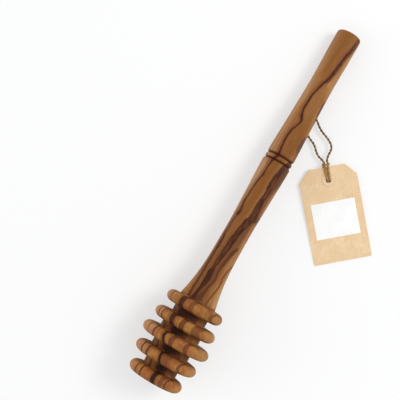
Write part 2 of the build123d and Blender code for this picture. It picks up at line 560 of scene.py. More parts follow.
# %% Handle curves
lower_handle = [
    (36.1, 7.8, -0.235), (43.9, 6.28, -0.158), (66.35, 5.15, -0.012), (85.0, 5.53, 0.026), (98.9, 5.95, 0),
]
upper_handle = [
    (103.4, 5.85, -0.02), (119.5, 5.3, -0.028), (138.3, 4.9, 0), (152.2, 5.12, 0.008), (158.8, 5.15, 0),
]


def add_handle(stations):
    """Adds Bezier curves through stations of place, radius and slope to the outline."""
    points = []
    for start, end in zip(stations, stations[1:]):
        third = (end[0] - start[0]) / 3
        knots = [
            Vector((start[0], 0, start[1])),
            Vector((start[0] + third, 0, start[1] + start[2] * third)),
            Vector((end[0] - third, 0, end[1] - end[2] * third)),
            Vector((end[0], 0, end[1])),
        ]
        points += interpolate_bezier(*knots, 13)[:-1]
    points.append(knots[-1])
    add_run([profile.verts.new(point) for point in points])


add_handle(lower_handle)
print("with the lower handle, the outline has", len(outline), "vertices")

# %% Bead between its grooves
bead_span = (100.0, 102.3)
bead_radius = 5.8
groove_radius = 4.8
lower_end, lower_radius = lower_handle[-1][:2]
upper_start, upper_radius = upper_handle[0][:2]
bead_half = (bead_span[1] - bead_span[0]) / 2
bead_middle = bead_span[0] + bead_half
shoulder_run = bead_span[0] - lower_end
add_round((lower_end, groove_radius), shoulder_run, lower_radius - groove_radius, pi / 2, 0, 8)
add_round((bead_middle, groove_radius), bead_half, bead_radius - groove_radius, pi, 0, 14)
add_round((upper_start, groove_radius), shoulder_run, upper_radius - groove_radius, pi, pi / 2, 8)
print("the bead is", 2 * bead_radius, "mm across, its grooves", 2 * groove_radius, "mm")

# %% Upper handle and its rounded end
end_radius = upper_handle[-1][1]
end_round = length - upper_handle[-1][0]
half_way_out = 2.0
add_handle(upper_handle)
add_round((length - end_round, end_radius - end_round), end_round, end_round, pi / 2, 0, 8)
add_run([profile.verts.new((length, 0, half_way_out)), profile.verts.new((length, 0, 0))])
print("the whole outline has", len(outline), "vertices")

# %% [markdown]
# ## Turn the profile on the lathe
# One full spin makes the surface. Its seam and its two poles are merged and the normals are worked out
# again. Only the bottoms of the bead's grooves turn sharply enough to stay sharp.

# %% Spin
bmesh.ops.remove_doubles(profile, verts=profile.verts, dist=0.001)
bmesh.ops.spin(
    profile,
    geom=profile.verts[:] + profile.edges[:],
    cent=(0, 0, 0),
    axis=(1, 0, 0),
    angle=tau,
    steps=96,
    use_merge=True,
)
bmesh.ops.remove_doubles(profile, verts=profile.verts, dist=0.0005)
bmesh.ops.recalc_face_normals(profile, faces=profile.faces)
for edge in profile.edges:
    edge.smooth = edge.calc_face_angle(0) < radians(45)
print("the turned surface has", len(profile.faces), "faces")

# %% [markdown]
# ## How deep a place lies
# Between the discs the wood is drawn darker, as painted shade that grows with depth. The material can't
# know the depth, so each vertex keeps how deep it lies below the nearest disc's rim, from 0 on the rim to
# 1 where the rim ends.

# %% Depth between the discs
# Each vertex keeps its depth below the rims, which sets the painted shade between the discs.
hollow = profile.verts.layers.float.new("hollow")
for vertex in profile.verts:
    place, radius = vertex.co.x, vertex.co.yz.length
    nearest = min(range(len(disc_spans)), key=lambda disc: abs(place - sum(disc_spans[disc]) / 2))
    depth = (disc_radii[nearest] - radius) / rim_height
    on_rings = place < disc_spans[-1][1] + core_round
    vertex[hollow] = min(1.0, max(0.0, depth)) if on_rings else 0.0
print("the deepest core lies", round(max(disc_radii) - core_radii[2], 1), "mm below its rim")

# %% [markdown]
# ## Lay the dipper down
# The dipper doesn't lie level: it rests on its widest disc and on its handle's end, so it leans by a few
# degrees. The vertices themselves are moved, and the piece's object stays at the origin.

# %% Lay down
lie_angle = radians(3.849)
head_place = Vector((-0.0796567, 0, 0.0157989))
lying = Matrix.Translation(head_place) @ Matrix.Rotation(lie_angle, 4, "Y") @ Matrix.Scale(MM, 4)
bmesh.ops.transform(profile, matrix=lying, verts=profile.verts)
dipper_mesh = bpy.data.meshes.new("turned_dipper")
profile.to_mesh(dipper_mesh)
profile.free()
print("the dipper has", len(dipper_mesh.polygons), "faces")

# %% [markdown]
# ## Olive wood
# Olive wood is honey brown with dark brown veins that wander along the grain, close together and clear at
# their edges. The pattern runs through the whole block, so it is worked out in the dipper's own axes: along
# it, to its left and up from its axis, in millimetres. One Mapping node turns Object coordinates into these.

# %% Axes of the wood
wood = Finish("olive_wood")
wood_place = wood.node("ShaderNodeMapping", {"vector_type": "TEXTURE"})
wood_place.inputs["Location"].default_value = head_place
wood_place.inputs["Rotation"].default_value = (0, lie_angle, 0)
wood_place.inputs["Scale"].default_value = (MM, MM, MM)
wood.feed(wood_place.inputs["Vector"], wood.node("ShaderNodeTexCoord").outputs["Object"])
along, left, up = wood.node("ShaderNodeSeparateXYZ", inputs=[wood_place.outputs[0]]).outputs
right = wood.math("MULTIPLY", left, -1.0)
print("the wood is mapped along", length, "mm")

# %% [markdown]
# ## Head and handle
# The same veins look different on the head, where deep grooves cut across them, and on the handle. Two masks
# tell the two apart. On the handle's underside the place along the grain is shifted, so that it isn't the
# upper side over again.

# %% Place along the grain
head_border = (35.9, 36.5)
underside_shift = 14.0
on_head = wood.remap(along, *head_border, 1.0, 0.0)
on_handle = wood.math("SUBTRACT", 1.0, on_head)
below = wood.math("MULTIPLY", wood.remap(up, -5.0, 1.0, underside_shift, 0.0), on_handle)
grain_place = wood.math("DIVIDE", wood.math("ADD", along, below), length)
print("the pattern of the handle's underside is shifted by", underside_shift, "mm")

# %% [markdown]
# ## Grain that flows
# Long thin noise makes the fine streaks. Its coordinates are squeezed along the dipper, so that a streak is
# many times longer than it is wide. Two more such noises, used weakly, make the veins wander and shiver.

# %% Streaks


def streak(along_scale, across_scale, detail, rough, offset):
    """Noise that is stretched along the grain, given how often it repeats in a millimetre."""
    squeezed = wood.node("ShaderNodeVectorMath", {"operation": "MULTIPLY_ADD"}, [wood_place.outputs[0]])
    squeezed.inputs[1].default_value = (along_scale, across_scale, across_scale)
    squeezed.inputs[2].default_value = (offset, offset * 0.7, offset * 1.3)
    return wood.noise(squeezed.outputs[0], 1.0, detail, rough)


slow_streak = streak(0.03, 0.28, 2, 0.5, 3.0)
broad_streak = streak(0.045, 0.6, 3, 0.55, 11.0)
fine_along, fine_across = 0.12, 2.6
fine_streak = streak(fine_along, fine_across, 3, 0.6, 23.0)
pore_streak = streak(0.5, 7.0, 2, 0.6, 31.0)
wander = wood.math("SUBTRACT", streak(0.16, 0.25, 2, 0.55, 5.0), 0.5)
shiver = wood.math("SUBTRACT", streak(0.7, 0.6, 2, 0.5, 7.0), 0.5)
print("a fine streak is about", round(fine_across / fine_along), "times longer than wide")

# %% [markdown]
# ## Sheets in the wood
# A vein on the surface is the edge of a thin sheet that runs on through the wood. On the head the sheets
# lean, so that a vein that crosses a high rim comes out further over in the core between two discs. Lower
# down they bend, as year rings do. Moving the place across the wood instead of each vein does all of that.

# %% Where across the wood a point lies
head_lean = 0.62
lean_share = wood.remap(along, *head_border, head_lean, 0.0)
lean = wood.math("MULTIPLY", lean_share, wood.math("SUBTRACT", 12.5, up))
low = wood.math("MINIMUM", wood.math("SUBTRACT", up, 2.0), 0.0)
across = wood.math("SUBTRACT", right, lean)
across = wood.math("MULTIPLY_ADD", wood.math("MULTIPLY", low, on_handle), 0.3, across)
low_squared = wood.math("MULTIPLY", low, low)
across = wood.math("MULTIPLY_ADD", wood.math("MULTIPLY", low_squared, on_head), 0.03, across)
across = wood.math("MULTIPLY_ADD", wander, 0.5, across)
across = wood.math("MULTIPLY_ADD", shiver, 0.45, across)
print("on the head a vein leans", head_lean, "mm for each mm of height")

# %% [markdown]
# ## A vein
# A vein needs three numbers at every place along the dipper: how far to the right it lies, how wide it is and
# how strong. The three curves of one RGB Curves node hold them, with a point for each row of a list. A curve
# holds values from 0 to 1, so the offset and the half width are kept as shares of a widest value. The
# distance from the vein's middle, counted in half widths, then fades its colour in.

# %% Vein
offset_span = 36.0
half_width_span = 5.0


def vein(rows, surface, middle, edge):
    """Colours a surface along a vein, given rows of place, offset, half width and strength."""
    curves = wood.node("ShaderNodeRGBCurve")
    wood.feed(curves.inputs["Color"], grain_place)
    spans = ((offset_span, offset_span / 2), (half_width_span, 0.0), (1.0, 0.0))
    for channel, (span, shift) in enumerate(spans):
        points = curves.mapping.curves[channel].points
        knots = [(row[0] / length, (row[channel + 1] + shift) / span) for row in sorted(rows)]
        knots = [(0.0, knots[0][1]), *[knot for knot in knots if 0 < knot[0] < 1], (1.0, knots[-1][1])]
        points[0].location, points[1].location = knots[0], knots[-1]
        for place, value in knots[1:-1]:
            points.new(place, value)
        for point in points:
            point.handle_type = "AUTO_CLAMPED"
    curves.mapping.update()
    parts = wood.node("ShaderNodeSeparateColor", inputs=[curves.outputs[0]]).outputs
    centre = wood.math("MULTIPLY_ADD", parts[0], offset_span, -offset_span / 2)
    half_width = wood.math("MAXIMUM", wood.math("MULTIPLY", parts[1], half_width_span), 0.05)
    distance = wood.math("ABSOLUTE", wood.math("SUBTRACT", across, centre))
    distance = wood.math("DIVIDE", distance, half_width)
    strength = wood.math("MULTIPLY", wood.remap(distance, 0.8, 1.3, 1.0, 0.0), parts[2])
    uneven = wood.remap(fine_streak, 0.3, 0.7, 0.94, 1.14, "LINEAR")
    strength = wood.math("MINIMUM", wood.math("MULTIPLY", strength, uneven), 1.0)
    return wood.mix(strength, surface, wood.mix(wood.remap(distance, 0.3, 0.9), middle, edge))


print("a vein can lie", offset_span / 2, "mm to each side and be", 2 * half_width_span, "mm wide")

# %% [markdown]
# ## Plain wood
# Between its veins the wood is tan, a little greyer in the middle of the handle than at its ends. A colour
# ramp gives that tone along the grain.

# %% Tones along the dipper
tone = wood.node("ShaderNodeValToRGB", inputs=[grain_place])
tone_stops = [
    (0, (168, 110, 56)),
    (36, (168, 112, 58)),
    (60, (148, 100, 58)),
    (84, (166, 118, 76)),
    (100, (156, 108, 68)),
    (125, (160, 110, 66)),
    (160, (152, 100, 58)),
]
for place, colour in tone_stops[1:-1]:
    tone.color_ramp.elements.new(place / length).color = srgb(*colour)
tone.color_ramp.elements[0].color = srgb(*tone_stops[0][1])
tone.color_ramp.elements[-1].color = srgb(*tone_stops[-1][1])
wood_colour = tone.outputs["Color"]
print("the wood has", len(tone_stops), "tones along it")

# %% [markdown]
# ## Streaks and bands
# Early and late wood differ in colour, which shows as long streaks. Broad and slow streaks change the tone
# gently, fine ones are the grain that one sees close by, and bands follow the leaning sheets.

# %% Streaks of the grain
wood_colour = wood.mix(wood.remap(broad_streak, 0.5, 0.72, 0.0, 0.5), wood_colour, srgb(124, 78, 42))
wood_colour = wood.mix(wood.remap(slow_streak, 0.5, 0.72, 0.0, 0.35), wood_colour, srgb(188, 138, 86))
wood_colour = wood.mix(wood.remap(fine_streak, 0.5, 0.72, 0.0, 0.25), wood_colour, srgb(104, 64, 34))
wood_colour = wood.mix(wood.remap(fine_streak, 0.46, 0.3, 0.0, 0.16), wood_colour, srgb(196, 146, 88))
print("the grain so far takes", len(wood.nodes), "nodes")

# %% Bands along the sheets
bands_across = 0.62
band_axes = [
    wood.math("MULTIPLY", along, 0.035),
    wood.math("MULTIPLY", across, bands_across),
    wood.math("MULTIPLY", up, 0.05),
]
band_place = wood.node("ShaderNodeCombineXYZ", inputs=band_axes)
bands = wood.noise(band_place.outputs[0], 1.0, 4, 0.62)
wood_colour = wood.mix(wood.remap(bands, 0.52, 0.66, 0.0, 0.55), wood_colour, srgb(118, 68, 36))
wood_colour = wood.mix(wood.remap(bands, 0.46, 0.34, 0.0, 0.4), wood_colour, srgb(190, 138, 70))
print("a band is about", round(1 / bands_across, 1), "mm wide")

# %% [markdown]
# ## Heart and brown field
# A heart of smooth deep gold runs through the handle, on the right above the bead and on the left below it.
# The lower handle has a brown field between its veins. Both are wide and soft, and are drawn as veins are.
# They lie over the streaks, because the wood is calmer there.

# %% Golden heart
heart = [
    (160, 0.0, 2.6, 0.665), (150, -0.4, 2.2, 0.76), (141, -1.0, 1.6, 0.76), (134, 1.0, 2.0, 0.475),
    (124, 1.5, 2.2, 0.57), (116, 1.6, 2.8, 0.855), (106, 1.2, 3.0, 0.95), (98, -0.6, 2.0, 0.95),
    (88, -1.2, 2.0, 0.95), (78, -1.6, 1.9, 0.855), (68, -2.4, 1.2, 0.665), (58, -2.8, 0.9, 0.38),
    (47, 2.4, 0.8, 0.38), (40, 1.6, 1.8, 0.665), (36.5, 0.8, 2.4, 0.76), (35.4, 1.5, 3.0, 0.57),
    (28, 0.8, 1.6, 0.19), (20, 1.0, 2.0, 0.19), (10, 2.6, 1.4, 0.19), (0, 4.0, 1.2, 0.19),
]
wood_colour = vein(heart, wood_colour, srgb(130, 82, 37), srgb(138, 90, 45))
print("the heart has", len(heart), "rows")

# %% Brown field
field = [
    (104, 4.0, 1.0, 0.0), (101, 4.0, 1.2, 0.6), (98, 3.6, 1.6, 0.9), (90, 3.0, 1.5, 0.9),
    (84, 2.9, 1.4, 0.8), (78, 2.8, 1.5, 0.8), (74, 2.2, 1.9, 0.8), (70, 1.3, 2.2, 0.8),
    (66, 0.6, 2.6, 0.85), (62, 0.2, 2.8, 0.85), (54, -0.5, 2.9, 0.85), (46, -0.9, 2.9, 0.85),
    (40, -1.2, 3.1, 0.85), (36.5, -1.4, 3.3, 0.85), (35.4, -4.0, 2.4, 0.3), (28, -3.0, 3.0, 0.3),
    (20, -2.5, 2.0, 0.2), (10, -0.5, 2.0, 0.3), (0, 1.0, 2.0, 0.3),
]
wood_colour = vein(field, wood_colour, srgb(106, 62, 31), srgb(120, 75, 38))
print("the field has", len(field), "rows")

# %% [markdown]
# ## Red and gold blush
# Oiled olive wood is nowhere one colour: here it turns towards red, there towards gold. One slow noise does
# both, its high values red and its low ones gold, and more strongly on the head than on the handle.

# %% Blush
handle_blush, head_blush = 0.2, 0.5
blush = streak(0.2, 0.5, 2, 0.5, 41.0)
blush_share = wood.math("MULTIPLY_ADD", on_head, head_blush - handle_blush, handle_blush)
red_blush = wood.math("MULTIPLY", wood.remap(blush, 0.5, 0.64), blush_share)
wood_colour = wood.mix(red_blush, wood_colour, srgb(158, 84, 44))
gold_blush = wood.math("MULTIPLY", wood.remap(blush, 0.46, 0.34), blush_share)
wood_colour = wood.mix(gold_blush, wood_colour, srgb(150, 110, 46))
print("the blush is", handle_blush, "strong on the handle and", head_blush, "on the head")

# %% [markdown]
# ## Painted light along the sides
# The handle's left side, and its right side near the head and near the end, are painted paler, as light
# from the sides makes them look. It is drawn as two wide, faint, pale veins.

# %% Painted light along the sides
left_painted_side_light = [
    (160, -5.0, 0.8, 0.2), (150, -4.8, 1.0, 0.3), (140, -4.6, 1.0, 0.35), (130, -4.8, 1.2, 0.4),
    (120, -5.2, 1.2, 0.35), (108, -5.6, 1.2, 0.4), (100, -5.6, 1.2, 0.4), (96, -5.4, 1.4, 0.6),
    (88, -5.4, 1.3, 0.6), (80, -5.4, 1.0, 0.5), (70, -5.3, 0.8, 0.3), (60, -5.3, 0.6, 0.1),
    (40, -7.0, 0.8, 0.1), (36.5, -8.0, 0.8, 0.0), (0, -20.0, 0.5, 0.0),
]
right_painted_side_light = [
    (160, 4.8, 0.6, 0.2), (146, 4.6, 0.8, 0.4), (136, 4.6, 0.8, 0.4), (128, 5.0, 0.6, 0.0),
    (68, 4.6, 0.6, 0.0), (64, 4.7, 0.6, 0.25), (58, 4.6, 0.6, 0.2), (52, 5.4, 0.7, 0.4),
    (47, 5.7, 1.0, 0.5), (42, 6.0, 1.4, 0.55), (38, 6.6, 1.5, 0.55), (36.5, 6.8, 1.5, 0.5),
    (36, 6.8, 1.6, 0.0), (0, 20.0, 0.5, 0.0),
]
# Painted light: two faint pale veins make the handle's sides look lit.
wood_colour = vein(left_painted_side_light, wood_colour, srgb(196, 154, 116), srgb(190, 146, 108))
wood_colour = vein(right_painted_side_light, wood_colour, srgb(192, 156, 106), srgb(184, 144, 98))
print("the sapwood has", len(left_painted_side_light) + len(right_painted_side_light), "rows")

# %% [markdown]
# ## The rims of the discs
# On the rims the grain is cut across, and it looks mottled, in patches of gold and red a few millimetres
# wide. The outer ends of the rims are painted paler, as light from the sides makes them look. Noise in
# three directions alike gives the patches, and the place to the left or right gives the painted light.

# %% Mottled rims
patches_per_mm = 0.34
mottle = wood.noise(wood_place.outputs[0], patches_per_mm, 3, 0.55)
mottle_gold = wood.math("MULTIPLY", wood.remap(mottle, 0.5, 0.62, 0.0, 0.6), on_head)
wood_colour = wood.mix(mottle_gold, wood_colour, srgb(176, 124, 56))
mottle_red = wood.math("MULTIPLY", wood.remap(mottle, 0.48, 0.38, 0.0, 0.6), on_head)
wood_colour = wood.mix(mottle_red, wood_colour, srgb(142, 80, 46))
print("a patch is about", round(1 / patches_per_mm), "mm wide")

# %% Painted light at the ends of the rims
left_start, right_start, fade = 8.0, 7.0, 4.0
# Painted light: the rims' outer ends to the left and right are drawn paler.
left_rim_painted_light = wood.math("MULTIPLY", on_head, wood.remap(left, left_start, left_start + fade, 0.0, 0.45))
wood_colour = wood.mix(left_rim_painted_light, wood_colour, srgb(200, 146, 108))
right_rim_painted_light = wood.math("MULTIPLY", on_head, wood.remap(right, right_start, right_start + fade, 0.0, 0.35))
wood_colour = wood.mix(right_rim_painted_light, wood_colour, srgb(186, 140, 84))
print("the rims are paler beyond", left_start, "mm to the left and", right_start, "mm to the right")

# %% [markdown]
# ## The broad brown vein
# The widest vein swings from the right side below the bead to the middle of the head. It is dark at its
# edges and lighter and redder inside, with streaks of its own, and redder still on the head.

# %% Browns of the broad vein
band_grain = streak(0.25, 1.1, 3, 0.6, 53.0)
light_share = wood.remap(along, 49.0, 53.0, 0.15, 1.0)
light_grain = wood.math("MULTIPLY", wood.remap(band_grain, 0.4, 0.62), light_share)
red_brown = wood.mix(light_grain, srgb(66, 34, 22), srgb(108, 58, 34))
red_brown = wood.mix(wood.math("MULTIPLY", on_head, 0.8), red_brown, srgb(118, 60, 34))
deep_brown = wood.mix(wood.math("MULTIPLY", on_head, 0.7), srgb(58, 31, 20), srgb(96, 50, 30))
print("the broad vein's browns bring the wood to", len(wood.nodes), "nodes")

# %% Broad vein
middle_vein = [
    (104, 5.0, 0.4, 0.0), (102.5, 4.6, 0.6, 0.7), (100.5, 4.0, 1.0, 0.8), (99, 3.5, 1.4, 0.85),
    (96, 3.2, 1.6, 0.85), (94, 2.8, 1.6, 0.9), (92, 2.9, 1.7, 0.9), (90, 2.5, 1.5, 0.9),
    (88, 2.4, 1.2, 0.9), (86, 2.3, 1.0, 0.95), (84, 2.1, 1.0, 0.95), (81, 1.9, 1.15, 0.95),
    (79, 2.0, 1.3, 0.95), (77, 2.2, 1.5, 0.9), (75, 2.5, 1.9, 0.85), (73.5, 1.5, 1.8, 0.9),
    (72, 1.1, 1.5, 0.95), (70, 0.6, 1.25, 0.95), (68, 0.25, 1.2, 0.95), (66, -0.05, 1.15, 0.95),
    (64, -0.3, 1.25, 0.95), (62, -0.5, 1.2, 0.95), (60, -0.75, 1.0, 0.95), (58, -1.0, 1.0, 0.9),
    (56, -1.0, 0.85, 0.9), (54, -1.3, 0.85, 0.9), (52, -1.5, 0.7, 0.9), (50, -1.6, 0.8, 0.9),
    (48.5, -1.7, 1.05, 1.0), (46, -1.6, 1.1, 1.0), (44, -1.7, 1.0, 1.0), (42, -2.1, 0.75, 0.95),
    (40, -2.4, 0.6, 0.95), (38, -2.6, 0.75, 0.95), (36.5, -2.7, 0.9, 0.95), (35.4, -2.1, 1.0, 0.6),
    (31.2, -2.1, 1.0, 0.6), (28, -1.4, 1.0, 0.85), (23.5, -1.3, 1.0, 0.85), (20.6, -1.1, 0.9, 0.8),
    (16.1, -1.0, 0.9, 0.8), (12.8, -0.4, 1.6, 0.7), (8.3, 0.0, 1.3, 0.5), (4.8, 1.3, 0.7, 0.6),
    (0, 1.2, 0.6, 0.6),
]
wood_colour = vein(middle_vein, wood_colour, red_brown, deep_brown)
print("the broad vein has", len(middle_vein), "rows")

# %% [markdown]
# ## Two thin veins
# A branch leaves the broad vein in the lower handle, and a thin vein follows the handle's right edge. Where
# a vein ends, its strength falls to zero, and the same list can go on with another vein further along. The
# rows below 36 mm are those of the head.

# %% Branch vein
branch_vein = [
    (63, 3.6, 0.4, 0.0), (62, 3.2, 0.5, 0.6), (61, 2.9, 0.6, 0.85), (60, 2.3, 0.8, 0.85),
    (58, 1.8, 0.65, 0.85), (56, 1.5, 0.6, 0.85), (54, 1.25, 0.6, 0.9), (52, 1.0, 0.5, 0.9),
    (50, 0.9, 0.45, 0.85), (48, 1.1, 0.45, 0.85), (46.5, 1.2, 0.4, 0.9), (44, 0.7, 0.4, 0.9),
    (42, 0.3, 0.45, 0.9), (40, 0.0, 0.7, 0.85), (38, -0.5, 1.2, 0.7), (36.5, -0.8, 1.5, 0.6),
    (35.4, -16.2, 0.4, 0.3), (28, -15.8, 0.42, 0.85), (23.5, -15.6, 0.42, 0.85), (18, -15.0, 0.4, 0.6),
    (12.8, -13.5, 0.45, 0.9), (8.3, -13.1, 0.45, 0.9), (4.8, -12.0, 0.4, 0.6), (0, -11.8, 0.4, 0.6),
]
wood_colour = vein(branch_vein, wood_colour, srgb(88, 46, 28), srgb(92, 52, 32))
print("the branch has", len(branch_vein), "rows")

# %% Edge vein
edge_vein = [
    (58, 5.2, 0.3, 0.0), (55, 4.9, 0.35, 0.5), (54, 4.7, 0.35, 0.6), (52, 4.1, 0.4, 0.7),
    (50, 3.75, 0.45, 0.7), (48.5, 3.7, 0.45, 0.7), (47, 4.0, 0.4, 0.7), (45, 4.0, 0.35, 0.75),
    (43, 3.75, 0.35, 0.8), (41, 3.5, 0.35, 0.85), (39, 3.2, 0.35, 0.85), (36.5, 2.8, 0.4, 0.85),
    (35.4, 5.5, 0.35, 0.8), (31.2, 5.3, 0.35, 0.8), (28, 4.3, 1.4, 0.75), (23.5, 4.4, 1.4, 0.75),
    (20.6, 4.8, 0.7, 0.85), (16.1, 5.0, 0.7, 0.85), (12.8, 5.2, 0.5, 0.85), (8.3, 5.1, 0.5, 0.8),
    (4.8, 3.0, 0.4, 0.85), (0, 2.9, 0.4, 0.85),
]
wood_colour = vein(edge_vein, wood_colour, srgb(108, 60, 36), srgb(108, 60, 36))
print("the edge vein has", len(edge_vein), "rows")

# %% [markdown]
# ## Grey patches
# Along the handle's right edge the wood has soft grey-brown patches, and a grey-brown shade goes with the
# dark vein of the upper handle. On the head the same list draws one more brown line over the left rims.

# %% Grey patches
patch_vein = [
    (160, 4.3, 0.8, 0.5), (156, 3.9, 0.9, 0.65), (152, 3.2, 0.9, 0.75), (148, 2.6, 0.85, 0.8),
    (144, 2.1, 0.85, 0.85), (140, 1.6, 0.85, 0.9), (138, 1.2, 0.8, 0.85), (136.5, 0.6, 0.6, 0.6),
    (135.5, 0.2, 0.5, 0.0), (134, 5.4, 0.3, 0), (131, 5.0, 0.5, 0.3), (129, 4.6, 0.7, 0.8),
    (126, 4.7, 0.6, 0.8), (123, 4.8, 0.5, 0.6), (119, 5.0, 0.3, 0.3), (116, 5.3, 0.4, 0.0),
    (114, 5.0, 0.6, 0.7), (112, 4.8, 0.9, 0.85), (110, 4.7, 1.0, 0.9), (108, 4.6, 0.8, 0.85),
    (106, 4.8, 0.5, 0.5), (103, 4.8, 0.4, 0.4), (99, 4.9, 1.0, 0.75), (94, 4.8, 1.2, 0.75),
    (90, 4.3, 0.9, 0.7), (86, 4.0, 0.6, 0.4), (78, 4.2, 0.8, 0.3), (75.5, 4.6, 0.9, 0.7),
    (74, 4.4, 0.5, 0.3), (72, 2.6, 0.7, 0.3), (66, 2.5, 0.7, 0.5), (63.5, 2.6, 0.7, 0.4),
    (60, 3.0, 0.5, 0.0), (37, 5.0, 0.5, 0.0), (35.4, -14.7, 0.45, 0.7), (28, -13.1, 0.45, 0.85),
    (23.5, -13.0, 0.45, 0.85), (20.6, -11.0, 0.5, 0.95), (16.1, -10.8, 0.5, 0.95),
    (12.8, -9.6, 0.55, 0.95), (8.3, -9.5, 0.55, 0.95), (4.8, -8.5, 0.5, 0.95), (0, -8.5, 0.5, 0.95),
]
patch_colour = wood.mix(on_head, srgb(98, 70, 52), srgb(92, 48, 30))
wood_colour = vein(patch_vein, wood_colour, patch_colour, srgb(108, 70, 50))
print("the patches have", len(patch_vein), "rows")

# %% [markdown]
# ## The main vein
# One dark vein runs the whole length of the dipper. It crosses from the right to the left of the handle,
# with a sharp knee above the bead, and on the head it fills the cores between the discs. A wider and fainter
# red-brown vein under it gives it the soft stain that such a vein has on one side.

# %% Rows of the main vein
main_vein = [
    (160, 4.1, 0.6, 0.4), (158, 4.0, 0.5, 0.5), (154, 3.5, 0.5, 0.7), (152, 3.0, 0.5, 0.85),
    (150, 2.6, 0.5, 0.9), (148, 2.3, 0.45, 0.8), (146, 2.1, 0.55, 0.9), (144, 1.8, 0.45, 0.8),
    (142, 1.65, 0.55, 0.95), (140, 1.3, 0.5, 0.95), (138, 0.8, 0.5, 0.95), (137, 0.35, 0.5, 1.0),
    (135.5, -0.2, 0.45, 1.0), (134, -0.5, 0.4, 0.95), (132, -1.0, 0.38, 0.9), (130, -1.5, 0.38, 0.95),
    (128, -1.65, 0.38, 0.95), (126, -1.75, 0.38, 0.9), (124, -1.8, 0.36, 0.9), (122.5, -1.55, 0.38, 0.9),
    (121, -1.1, 0.5, 1.0), (120, -0.75, 0.56, 1.0), (119, -0.35, 0.52, 1.0), (118.3, -0.2, 0.42, 1.0),
    (117, -0.6, 0.36, 0.9), (116, -0.95, 0.36, 0.9), (115, -1.3, 0.36, 0.9), (114, -1.65, 0.36, 0.9),
    (112, -1.95, 0.36, 0.9), (109, -2.1, 0.34, 0.9), (106, -1.95, 0.36, 0.9), (104, -1.7, 0.42, 0.95),
    (102.5, -1.5, 0.6, 1.0), (100.2, -2.2, 0.55, 1.0), (98, -2.65, 0.35, 0.9), (94, -2.9, 0.3, 0.85),
    (92.5, -2.8, 0.4, 0.95), (91, -3.1, 0.35, 0.9), (88, -3.6, 0.3, 0.85), (84, -3.85, 0.3, 0.8),
    (80, -3.95, 0.35, 0.8), (78, -3.8, 0.4, 0.8), (76, -3.5, 0.45, 0.85), (74.5, -3.6, 0.45, 0.95),
    (73, -3.9, 0.35, 0.6), (68, -4.3, 0.45, 0.5), (65, -4.3, 0.45, 0.6), (63, -4.0, 0.4, 0.85),
    (60, -4.05, 0.4, 0.85), (57, -4.3, 0.4, 0.75), (52, -4.4, 0.5, 0.7), (48, -4.4, 0.5, 0.7),
    (44, -4.5, 0.4, 0.75), (40, -4.7, 0.4, 0.75), (36.5, -4.9, 0.45, 0.8), (35.4, -7.3, 1.3, 0.95),
    (31.2, -7.1, 1.3, 0.95), (30.6, -5.4, 4.2, 1.0), (28.6, -5.4, 4.2, 1.0), (27.8, -6.8, 1.2, 0.95),
    (23.6, -6.1, 1.2, 0.95), (22.8, -4.4, 3.2, 1.0), (21.3, -4.4, 3.2, 1.0), (20.4, -5.2, 0.6, 1.0),
    (16.3, -4.3, 0.6, 1.0), (15.4, -3.9, 3.2, 1.0), (13.5, -3.9, 3.0, 1.0), (12.6, -3.1, 0.65, 1.0),
    (8.5, -2.2, 0.65, 1.0), (7.6, -3.5, 2.1, 1.0), (5.5, -3.5, 2.1, 1.0), (4.6, -1.9, 0.95, 1.0),
    (0, -1.8, 0.9, 1.0),
]
print("the main vein has", len(main_vein), "rows")

# %% Stain and main vein
stain = [(place, offset - 0.25, half * 1.3 + 0.55, share * 0.5) for place, offset, half, share in main_vein]
wood_colour = vein(stain, wood_colour, srgb(118, 62, 36), srgb(118, 62, 36))
main_middle = wood.mix(wood.remap(along, 22.0, 26.0), srgb(48, 26, 18), srgb(70, 36, 24))
wood_colour = vein(main_vein, wood_colour, main_middle, srgb(76, 38, 22))
print("the stain is up to", round(max(row[2] for row in stain), 1), "mm wide on each side")

# %% [markdown]
# ## Grooves, and painted shade in the hollows
# The wood is drawn darker along the two grooves beside the bead, and the hollows between the discs get
# painted shade. The grooves lie at one distance from the bead's middle, so folding the place along the
# dipper twice finds both of them.

# %% Dark grooves, and painted shade in the hollows
groove_line = wood.math("ABSOLUTE", wood.math("SUBTRACT", along, bead_middle))
groove_line = wood.math("ABSOLUTE", wood.math("SUBTRACT", groove_line, bead_half))
# The wood is drawn darker in a narrow line along each groove beside the bead.
wood_colour = wood.mix(wood.remap(groove_line, 0.3, 0.85, 0.7, 0.0), wood_colour, srgb(76, 36, 22))
hollow_depth = wood.node("ShaderNodeAttribute", {"attribute_name": "hollow"}).outputs["Fac"]
# Painted shade in the hollows between the discs, darker the deeper a place lies below its rim.
wood_colour = wood.mix(wood.remap(hollow_depth, 0.05, 0.75, 0.0, 0.28), wood_colour, srgb(70, 38, 22))
print("the grooves lie at", bead_span, "mm")

# %% [markdown]
# ## Pores and gloss
# Oiled wood has a low satin gloss, broken up by its pores, which are short fine dashes along the grain. They
# are darker than the wood, and the noise that draws them also makes the surface slightly uneven. The gloss
# changes a little with the fine streaks.

# %% Pores, gloss and the finished dipper
wood_colour = wood.mix(wood.remap(pore_streak, 0.6, 0.75, 0.0, 0.35), wood_colour, srgb(84, 50, 28))
wood.bump(pore_streak, 0.12, 0.0002)
wood_material = wood.surface(wood_colour, wood.remap(fine_streak, 0.3, 0.7, 0.5, 0.64), 0.1)
dipper = add_piece("turned_dipper", dipper_mesh, "dipper", wood_material)
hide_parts("dipper")
print("the wood's finish has", len(wood.nodes), "nodes")

# %% [markdown]
# ## Kraft card
# The tag is pale kraft card. Its colour is nearly even, with faint lighter clouds where the pulp is thinner
# and a few darker fibres. Both come from noise on Object coordinates, and a very small bump gives the tooth
# of the paper.

